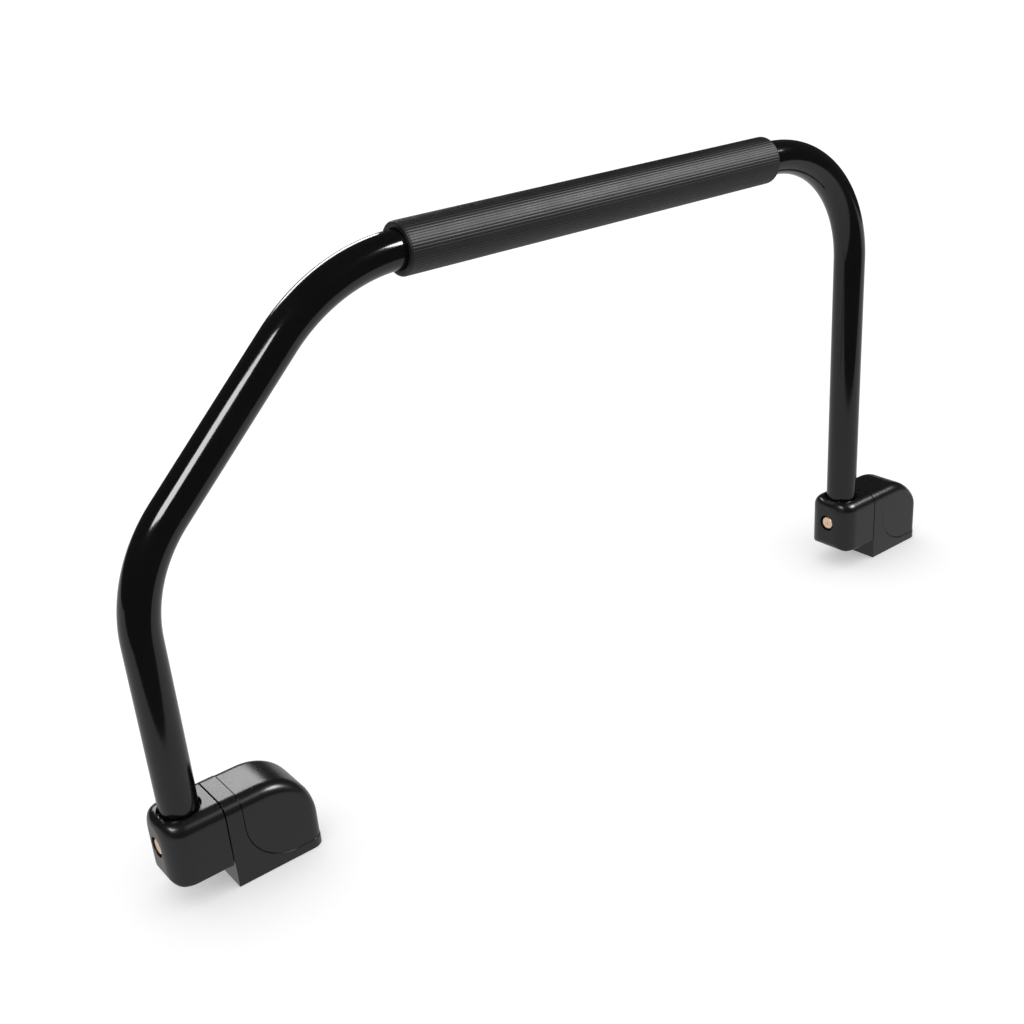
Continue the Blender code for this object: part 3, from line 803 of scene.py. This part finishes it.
def ring_grid(node, bore, edge):
    """A flat ring on the pivot axis in the place of its node, with rounded edges."""
    low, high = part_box(node)
    outer = (high.y - low.y) / 2
    middle = (bore / 2 + outer) / 2
    x = (low.x, low.x, high.x, high.x, low.x, low.x)
    radius = (middle, outer, outer, bore / 2, bore / 2, middle)
    return around_x(filleted(list(zip(x, radius)), (edge,) * 4, math.radians(18))[:-1])


def nut_grid(side, pivot):
    """A hexagon nut: at angle a the radius is flats / 2 / cos(a from the middle of a flat).

    The corners are turned off by cones of 30 degrees at both faces, and the bore has a lead-in.
    """
    low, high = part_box(f"{side}_pin_nut")
    height, flats = high.x - low.x, high.y - low.y
    bore = pivot.thread / 2 + TOUCH_GAP
    lead, turned_off = 0.0005, 0.0003
    angle = turns(144)
    from_flat = (angle + math.pi / 6) % (math.pi / 3) - math.pi / 6
    hexagon = flats / 2 / np.cos(from_flat)
    x = np.concatenate([[0, 0.0002], np.linspace(0.0004, 0.0014, 8)])
    x = np.concatenate([x, height - x[::-1]])
    from_face = np.minimum(x, height - x)
    cone = flats / 2 - turned_off + from_face * math.sqrt(3)
    outer = np.minimum(hexagon[None, :], cone[:, None])
    inner = np.array([[bore + lead], [bore], [bore], [bore + lead]]) + 0 * angle
    radius = np.concatenate([outer, inner])
    x = np.concatenate([x, [height, height - lead, lead, 0]])[:, None]
    return rings_along_x(low.x + x, radius, angle + math.pi / 2)


def spring_grid(side, pivot):
    """A coil spring along X with a closed turn at each end: a wire's ring carried along a helix."""
    low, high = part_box(f"{side}_spring")
    coil = pivot.pin / 2 + TOUCH_GAP + pivot.wire / 2
    closed = pivot.wire * 1.08
    rise = (high.x - low.x) - pivot.wire - 2 * closed
    turned = np.linspace(0, pivot.turns, pivot.turns * 40 + 1)
    opened = np.clip(turned - 1, 0, pivot.turns - 2) / (pivot.turns - 2)
    smoothed = opened * opened * (3 - 2 * opened) * 0.25 + opened * 0.75
    x = low.x + pivot.wire / 2 + (turned - opened * (pivot.turns - 2)) * closed + smoothed * rise
    angle = (2 * math.pi * turned)[:, None]
    section = turns(16)[None, :]
    radius = coil + pivot.wire / 2 * np.cos(section)
    return rings_along_x(x[:, None] + pivot.wire / 2 * np.sin(section), radius, angle)


def set_screw_grid(side):
    """A threaded screw along Y with plain ends."""
    low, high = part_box(f"{side}_set_screw")
    major = (high.x - low.x) / 2
    pitch, depth, tip, plain = 0.0010, 0.0004, 0.0005, 0.0006
    y = np.arange(low.y + plain, high.y - plain, pitch / 8)
    angle = turns(48)
    tips = np.array([[major - 0.0010], [major - depth]]) + 0 * angle
    radius = np.concatenate([tips, thread(y, angle, major, pitch, depth), tips[::-1]])
    y = np.concatenate([[low.y, low.y + tip], y, [high.y - tip, high.y]])[:, None]
    rings = rings_along_x(y, radius, angle, (0.0, 0.0))
    return along_y(rings, LEG_X[side], box_centre(f"{side}_set_screw").z)


def bore_cutters(side, mount, pivot, tube):
    """The housing's holes: the tube's recessed socket, the stepped pivot bore, the screw hole."""
    low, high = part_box(f"{side}_housing")
    leg = LEG_X[side]
    socket = tube.diameter / 2 + TOUCH_GAP
    recess = tube.diameter / 2 + mount.recess_margin
    socket_profile = filleted([
        (low.z + mount.socket_floor, socket),
        (mount.top - mount.recess_depth, socket),
        (mount.top - mount.recess_depth, recess),
        (mount.top + OVERCUT, recess),
    ], (0, 0.0006), math.radians(15))
    lead = 0.0005
    spring = pivot.spring_bore / 2
    seat = pivot.bush / 2 + TOUCH_GAP
    shank = pivot.pin / 2 + TOUCH_GAP
    bush_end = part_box(f"{side}_pivot_bush")[1].x + TOUCH_GAP
    pivot_profile = [
        (low.x - OVERCUT, spring + lead + OVERCUT),
        (low.x, spring + lead),
        (low.x + lead * 0.3, spring + lead * 0.3),
        (low.x + lead, spring),
        (leg, spring),
        (leg, seat),
        (bush_end, seat),
        (bush_end, shank),
        (high.x - lead, shank),
        (high.x + OVERCUT, shank + lead + OVERCUT),
    ]
    hole = box_size(f"{side}_set_screw").x / 2 + TOUCH_GAP
    face = mount.half_width
    screw_profile = [
        (0.0, hole),
        (face - lead, hole),
        (face, hole + lead),
        (face + OVERCUT, hole + lead + OVERCUT),
    ]
    screw_rings = around_x(screw_profile, (0.0, 0.0), 48)
    screw_height = box_centre(f"{side}_set_screw").z
    return [
        grid_piece("socket_cutter", around_z(socket_profile, leg, 96)),
        grid_piece("pivot_cutter", around_x(pivot_profile)),
        grid_piece("screw_cutter", along_y(screw_rings, leg, screw_height)),
    ]


def base_cutters(side, mount, pivot):
    """The base's holes: the cap's place, the pocket, the washer's recess, the pin and screws."""
    low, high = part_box(f"{side}_base")
    recess = box_size(f"{side}_thrust_washer").y / 2 + TOUCH_GAP
    web_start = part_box(f"{side}_thrust_washer")[1].x + TOUCH_GAP
    web_end = web_start + mount.web
    shank = pivot.thread / 2 + TOUCH_GAP
    lead = 0.0003
    bore_profile = [
        (low.x - OVERCUT, recess + 0.0002 + OVERCUT),
        (low.x, recess + 0.0002),
        (low.x + lead, recess),
        (web_start, recess),
        (web_start, shank + lead),
        (web_start + lead, shank),
        (web_end + OVERCUT, shank),
    ]
    screw, head, inset = 0.00275, 0.0050, 0.0160
    hole_profile = [
        (-OVERCUT, screw),
        (mount.base_floor - 0.0025, screw),
        (mount.base_floor, head),
        (mount.base_floor + OVERCUT, head),
    ]
    pocket = fixed_grid(side, mount, web_end, mount.base_floor, mount.base_wall)
    return [
        grid_piece("seam_cutter", seam_grid(side, mount)),
        grid_piece("pocket_cutter", pocket),
        grid_piece("bore_cutter", around_x(bore_profile)),
        grid_piece("near_screw_cutter", around_z(hole_profile, web_end + inset)),
        grid_piece("far_screw_cutter", around_z(hole_profile, high.x - inset)),
    ]


# Operators

class ASSISTRAIL_OT_stage(Operator):
    """Make the floor, the studio light and the camera"""
    bl_idname = "assist_rail.stage"
    bl_label = "Studio"
    bl_options = {"REGISTER", "UNDO"}

    def execute(self, context):
        self.make_camera(context)
        self.make_floor()
        self.make_sheet()
        self.make_world(context)
        self.make_lights()
        context.scene.view_settings.view_transform = "Standard"
        return {"FINISHED"}

    def make_camera(self, context):
        data = bpy.data.cameras.new("camera")
        data.lens = 45.73
        data.sensor_width = 36.0
        camera = new_piece("camera", data)
        camera.location = (-0.64843, -0.76046, 0.62514)
        camera.rotation_euler = [math.radians(angle) for angle in (65.383, 4.206, -38.339)]
        context.scene.camera = camera

    def make_floor(self):
        """A sheet, flat within 3 m of the rail, that rises by 0.06 (distance - 3)^2 beyond it."""
        places = np.linspace(-9.0, 9.0, 73)
        flat, rise, clearance = 3.0, 0.06, 0.0005
        x, y = np.meshgrid(places, places, indexing="ij")
        z = rise * np.clip(np.hypot(x, y) - flat, 0, None) ** 2 - clearance
        index = np.arange(x.size).reshape(x.shape)
        quads = np.stack([index[:-1, :-1], index[1:, :-1], index[1:, 1:], index[:-1, 1:]], axis=-1)
        mesh = bpy.data.meshes.new("floor")
        places = points(x, y, z).reshape(-1, 3)
        mesh.from_pydata(places.tolist(), [], quads.reshape(-1, 4).tolist())
        mesh.shade_smooth()
        floor = new_piece("floor", mesh)
        floor.visible_glossy = False
        material, tree, shader = start_material("pale_floor")
        grain = use_group(tree, "fine_grain", Scale=60.0, Cloud_Scale=0.8)
        pale = blend_colours(tree, grain["Cloud"], (0.80, 0.80, 0.80, 1.0), (0.83, 0.83, 0.83, 1.0))
        set_inputs(tree, shader, {
            "Base Color": pale,
            "Roughness": 0.9,
            "Specular IOR Level": 0.1,
            "Emission Color": WHITE,
            "Emission Strength": 0.30,
        })
        mesh.materials.append(material)

    def make_sheet(self):
        """A glowing sheet under the rail, seen in the gloss only. It ends in front of the rail."""
        height = -0.0002
        outline = (-2.0, 0.33), (2.6, -1.33), (2.6, 2.2), (-2.0, 2.2)
        corners = [(x, y, height) for x, y in outline]
        mesh = bpy.data.meshes.new("sheet")
        mesh.from_pydata(corners, [], [(0, 1, 2, 3)])
        sheet = new_piece("sheet", mesh)
        material = bpy.data.materials.new("glowing_sheet")
        tree = empty_tree(material)
        glow = add_node(tree, "ShaderNodeEmission", {"Strength": SHEET_GLOW})
        add_node(tree, "ShaderNodeOutputMaterial", {"Surface": glow.outputs[0]})
        mesh.materials.append(material)
        for kind in ("camera", "diffuse", "transmission", "shadow", "volume_scatter"):
            setattr(sheet, f"visible_{kind}", False)

    def make_world(self, context):
        """Even white light on everything, and a dark room in the reflections."""
        world = bpy.data.worlds.new("studio")
        tree = empty_tree(world)
        bright, dark = (
            add_node(tree, "ShaderNodeBackground", {"Color": WHITE, "Strength": glow}).outputs[0]
            for glow in (WORLD_GLOW, ROOM_GLOW)
        )
        glossy = add_node(tree, "ShaderNodeLightPath").outputs["Is Glossy Ray"]
        mix = add_node(tree, "ShaderNodeMixShader", {0: glossy, 1: bright, 2: dark})
        add_node(tree, "ShaderNodeOutputWorld", {"Surface": mix.outputs[0]})
        context.scene.world = world

    def make_lights(self):
        """Softboxes that show only in the gloss, placed where the tube and the caps mirror them."""
        boxes = {
            "slope_softbox": ((-1.12, -0.43, 1.13), (-0.313, 0.0, 0.34), (0.52, 0.46), 11.5),
            "front_softbox": ((2.32, -2.23, 2.80), (0.2, 0.0, 0.30), (1.85, 0.9), 155.0),
            "rear_softbox": ((0.05, 1.16, 0.92), (-0.37, 0.0, 0.07), (0.75, 0.4), 7.6),
        }
        for name, (place, aim, (width, height), power) in boxes.items():
            data = bpy.data.lights.new(name, "AREA")
            data.shape = "RECTANGLE"
            data.size = width
            data.size_y = height
            data.energy = power
            light = new_piece(name, data)
            light.location = place
            towards = Vector(aim) - Vector(place)
            light.rotation_euler = towards.to_track_quat("-Z", "Y").to_euler()
            light.visible_diffuse = False


class ASSISTRAIL_OT_tube(Operator):
    """Make the bent tube, drilled at both ends for the pivots"""
    bl_idname = "assist_rail.tube"
    bl_label = "Tube"
    bl_options = {"REGISTER", "UNDO"}

    def execute(self, context):
        tube = context.scene.assist_rail_tube
        pivot = context.scene.assist_rail_pivot
        piece = grid_piece("rail_tube_surface", tube_grid(tube), looped=True)
        reach = tube.diameter / 2 + OVERCUT
        spring = pivot.spring_bore / 2 + TOUCH_GAP
        bush = pivot.bush / 2 + TOUCH_GAP
        cutters = []
        for leg in LEG_X.values():
            profile = [(leg - reach, spring), (leg, spring), (leg, bush), (leg + reach, bush)]
            cutters.append(grid_piece("drill_cutter", around_x(profile, sides=64)))
        carve(piece, cutters)
        install(piece, "rail_tube", "gloss_powder_coat")
        return {"FINISHED"}


class ASSISTRAIL_OT_grip(Operator):
    """Make the ribbed foam grip"""
    bl_idname = "assist_rail.grip"
    bl_label = "Grip"
    bl_options = {"REGISTER", "UNDO"}

    def execute(self, context):
        grid = grip_grid(context.scene.assist_rail_grip, context.scene.assist_rail_tube)
        piece = grid_piece("grip_sleeve_surface", grid, looped=True)
        install(piece, "grip_sleeve", "ribbed_foam", 50)
        return {"FINISHED"}


class ASSISTRAIL_OT_housings(Operator):
    """Make the two moving housings that the tube stands in"""
    bl_idname = "assist_rail.housings"
    bl_label = "Housings"
    bl_options = {"REGISTER", "UNDO"}

    def execute(self, context):
        scene = context.scene
        mount = scene.assist_rail_mount
        for side in SIDES:
            piece = grid_piece(f"{side}_housing_surface", housing_grid(side, mount))
            carve(piece, bore_cutters(side, mount, scene.assist_rail_pivot, scene.assist_rail_tube))
            install(piece, f"{side}_housing", "satin_moulded_nylon")
        return {"FINISHED"}


class ASSISTRAIL_OT_bases(Operator):
    """Make the two fixed bases"""
    bl_idname = "assist_rail.bases"
    bl_label = "Bases"
    bl_options = {"REGISTER", "UNDO"}

    def execute(self, context):
        mount = context.scene.assist_rail_mount
        for side in SIDES:
            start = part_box(f"{side}_base")[0].x
            grid = fixed_grid(side, mount, start, 0.0, edge=mount.edge_radius)
            piece = grid_piece(f"{side}_base_surface", grid)
            carve(piece, base_cutters(side, mount, context.scene.assist_rail_pivot))
            carve(piece, [grid_piece("groove_cutter", groove_grid(side, mount), looped=True)])
            install(piece, f"{side}_base", "satin_moulded_nylon")
        return {"FINISHED"}


class ASSISTRAIL_OT_caps(Operator):
    """Make the two domed caps"""
    bl_idname = "assist_rail.caps"
    bl_label = "Caps"
    bl_options = {"REGISTER", "UNDO"}

    def execute(self, context):
        mount = context.scene.assist_rail_mount
        for side in SIDES:
            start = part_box(f"{side}_base")[0].x + mount.band
            grid = fixed_grid(side, mount, start, 0.0, mount.band_step)
            piece = grid_piece(f"{side}_cap_surface", grid)
            kept = grid_piece("seam_cutter", seam_grid(side, mount, TOUCH_GAP))
            carve(piece, [kept], "INTERSECT")
            inset = mount.band_step + mount.cap_wall
            hollow = fixed_grid(side, mount, start - OVERCUT, -OVERCUT, inset)
            groove = grid_piece("groove_cutter", groove_grid(side, mount), looped=True)
            carve(piece, [grid_piece("hollow_cutter", hollow), groove])
            install(piece, f"{side}_cap", "satin_moulded_nylon")
        return {"FINISHED"}


class ASSISTRAIL_OT_pins(Operator):
    """Make the pivot pins with their nuts"""
    bl_idname = "assist_rail.pins"
    bl_label = "Pins and nuts"
    bl_options = {"REGISTER", "UNDO"}

    def execute(self, context):
        pivot = context.scene.assist_rail_pivot
        for side in SIDES:
            pin = grid_piece(f"{side}_pivot_pin_surface", pin_grid(side, pivot))
            install(pin, f"{side}_pivot_pin", "copper_toned_pin", 40)
            nut = grid_piece(f"{side}_pin_nut_surface", nut_grid(side, pivot), looped=True)
            install(nut, f"{side}_pin_nut", "zinc_plate", 25)
        return {"FINISHED"}


class ASSISTRAIL_OT_rings(Operator):
    """Make the washers, spring seats and bushes around the pins"""
    bl_idname = "assist_rail.rings"
    bl_label = "Washers, seats and bushes"
    bl_options = {"REGISTER", "UNDO"}

    def execute(self, context):
        pivot = context.scene.assist_rail_pivot
        around_pin = pivot.pin + 2 * TOUCH_GAP
        around_thread = pivot.thread + 2 * TOUCH_GAP
        rings = (
            ("pin_washer", around_thread, 0.0003, "zinc_plate"),
            ("thrust_washer", around_pin, 0.0002, "natural_nylon"),
            ("spring_seat", around_pin, 0.0002, "zinc_plate"),
            ("pivot_bush", around_pin, 0.0004, "natural_nylon"),
        )
        for side in SIDES:
            for part, bore, edge, material in rings:
                node = f"{side}_{part}"
                piece = grid_piece(f"{node}_surface", ring_grid(node, bore, edge), looped=True)
                install(piece, node, material, 50)
        return {"FINISHED"}


class ASSISTRAIL_OT_springs(Operator):
    """Make the return springs as fixed coils; the real springs shorten towards the pins' heads as
    the rail is lifted
    """
    bl_idname = "assist_rail.springs"
    bl_label = "Springs"
    bl_options = {"REGISTER", "UNDO"}

    def execute(self, context):
        for side in SIDES:
            grid = spring_grid(side, context.scene.assist_rail_pivot)
            piece = grid_piece(f"{side}_spring_surface", grid)
            install(piece, f"{side}_spring", "spring_steel", 60)
            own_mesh(piece)
        return {"FINISHED"}


class ASSISTRAIL_OT_set_screws(Operator):
    """Make the set screws that grip the tube, with their key sockets"""
    bl_idname = "assist_rail.set_screws"
    bl_label = "Set screws"
    bl_options = {"REGISTER", "UNDO"}

    def execute(self, context):
        key, key_depth = 0.0030, 0.0030
        corner = key / 2 / math.cos(math.pi / 6)
        for side in SIDES:
            piece = grid_piece(f"{side}_set_screw_surface", set_screw_grid(side))
            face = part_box(f"{side}_set_screw")[1].y
            profile = [(face - key_depth, corner), (face + OVERCUT, corner)]
            hexagon = around_x(profile, (0.0, 0.0), 6)
            height = box_centre(f"{side}_set_screw").z
            carve(piece, [grid_piece("key_cutter", along_y(hexagon, LEG_X[side], height))])
            install(piece, f"{side}_set_screw", "black_oxide", 30)
        return {"FINISHED"}


class ASSISTRAIL_PT_sidebar(Panel):
    """Lists the rail's pieces, sizes and finishes"""
    bl_idname = "ASSISTRAIL_PT_sidebar"
    bl_label = "Folding assist rail"
    bl_space_type = "VIEW_3D"
    bl_region_type = "UI"
    bl_category = "Assist rail"

    def draw(self, context):
        layout = self.layout
        for operator in OPERATORS:
            layout.operator(operator.bl_idname)
        for name in GROUPS:
            box = layout.box()
            box.label(text=name.removeprefix("assist_rail_").capitalize())
            settings = getattr(context.scene, name)
            for prop in settings.__annotations__:
                box.prop(settings, prop)


OPERATORS = (
    ASSISTRAIL_OT_stage,
    ASSISTRAIL_OT_tube,
    ASSISTRAIL_OT_grip,
    ASSISTRAIL_OT_housings,
    ASSISTRAIL_OT_bases,
    ASSISTRAIL_OT_caps,
    ASSISTRAIL_OT_pins,
    ASSISTRAIL_OT_rings,
    ASSISTRAIL_OT_springs,
    ASSISTRAIL_OT_set_screws,
)
GROUPS = {
    "assist_rail_tube": AssistRailTube,
    "assist_rail_grip": AssistRailGrip,
    "assist_rail_mount": AssistRailMount,
    "assist_rail_pivot": AssistRailPivot,
    "assist_rail_finish": AssistRailFinish,
}


def register():
    for name, group in GROUPS.items():
        bpy.utils.register_class(group)
        setattr(bpy.types.Scene, name, PointerProperty(type=group))
    for operator in OPERATORS:
        bpy.utils.register_class(operator)
    bpy.utils.register_class(ASSISTRAIL_PT_sidebar)


def unregister():
    bpy.utils.unregister_class(ASSISTRAIL_PT_sidebar)
    for operator in reversed(OPERATORS):
        bpy.utils.unregister_class(operator)
    for name, group in GROUPS.items():
        delattr(bpy.types.Scene, name)
        bpy.utils.unregister_class(group)


def main():
    register()
    bpy.ops.assist_rail.stage()
    bpy.ops.assist_rail.tube()
    bpy.ops.assist_rail.grip()
    bpy.ops.assist_rail.housings()
    bpy.ops.assist_rail.bases()
    bpy.ops.assist_rail.caps()
    bpy.ops.assist_rail.pins()
    bpy.ops.assist_rail.rings()
    bpy.ops.assist_rail.springs()
    bpy.ops.assist_rail.set_screws()


if __name__ == "__main__":
    main()
